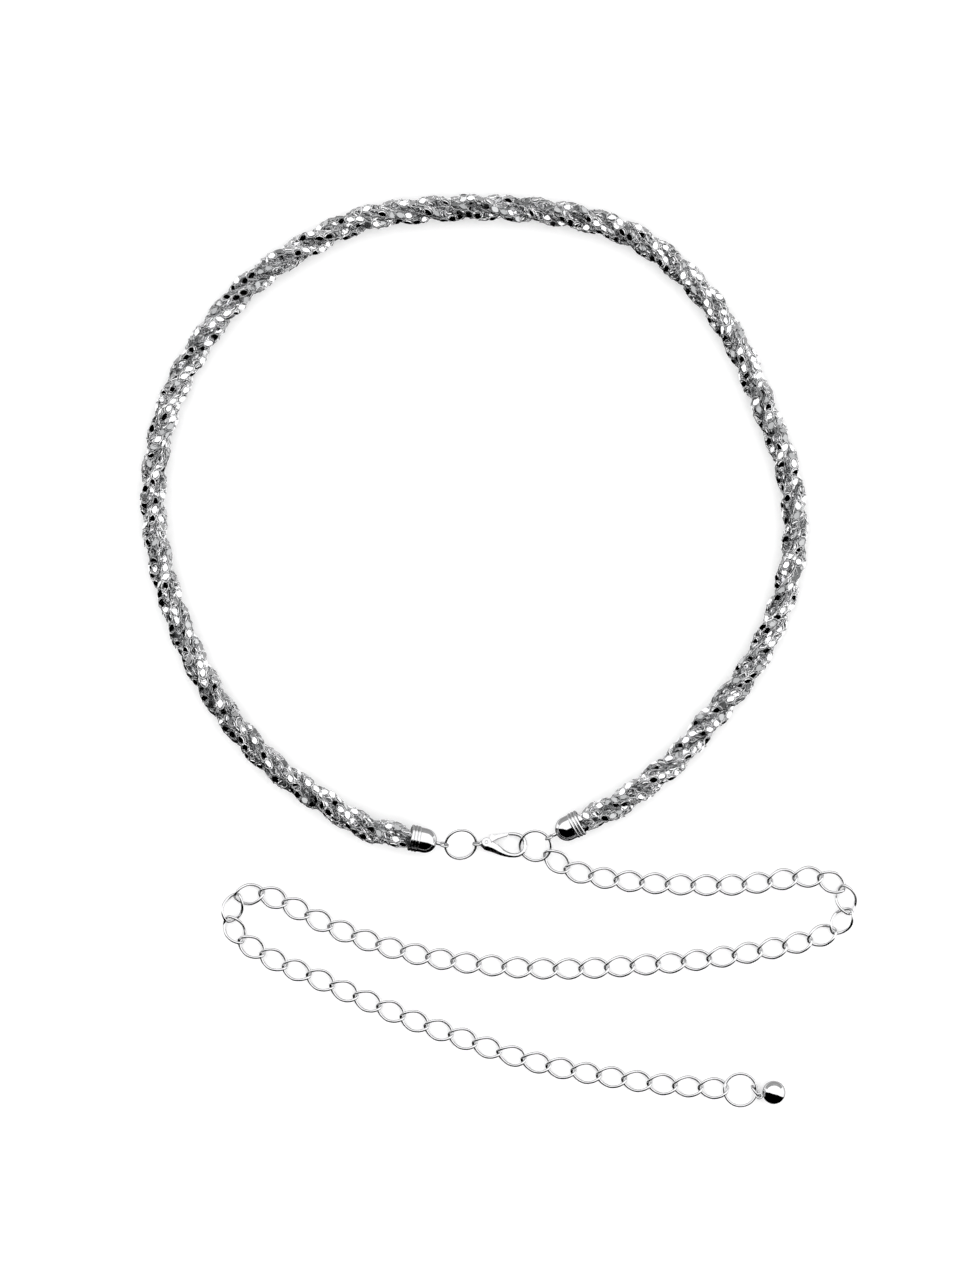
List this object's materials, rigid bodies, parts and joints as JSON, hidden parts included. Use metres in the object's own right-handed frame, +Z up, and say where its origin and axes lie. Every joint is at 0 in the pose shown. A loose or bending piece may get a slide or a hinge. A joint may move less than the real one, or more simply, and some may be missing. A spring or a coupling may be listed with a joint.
{
  "type": "waist chain",
  "caption": "Silver-tone waist chain: a thick twisted mesh rope closed by a lobster clasp, with a long extension chain that ends in a ring and a ball.",
  "frame": {"origin": "on the floor under the middle of the laid-out chain's outline", "axes": "+Z up from the surface that it lies on, +Y from the extension chain towards the far side of the rope's loop, +X towards the end of the rope that the hook holds"},
  "size_m": [0.2503, 0.3189, 0.0105],
  "materials": {
    "mesh_strand": "bright silver-tone plate on small facets",
    "polished_fittings": "polished silver-tone plate",
    "link_wire": "polished silver-tone wire",
    "ball": "mirror polish"
  },
  "bodies": {
    "belt": {"rope_strand_1": "mesh_strand", "rope_strand_2": "mesh_strand", "rope_strand_3": "mesh_strand", "end_cap_left": "polished_fittings", "end_cap_right": "polished_fittings", "jump_ring_left": "polished_fittings", "jump_ring_right": "polished_fittings", "clasp_body": "polished_fittings", "clasp_pin": "polished_fittings", "extension_chain": "link_wire", "end_ring": "polished_fittings", "drop_ring": "polished_fittings", "end_ball": "ball"},
    "clasp_lever": {"clasp_lever": "polished_fittings"}
  },
  "joints": [
    {"name": "clasp_lever_hinge", "type": "hinge", "parent": "belt", "child": "clasp_lever", "pos_m": [-0.00423, -0.06709, 0.00188], "axis": [0, -0.2079, -0.9781], "range_deg": [0, 24], "stiffness_Nm_per_rad": 0.005, "springref_deg": -11.46}
  ]
}
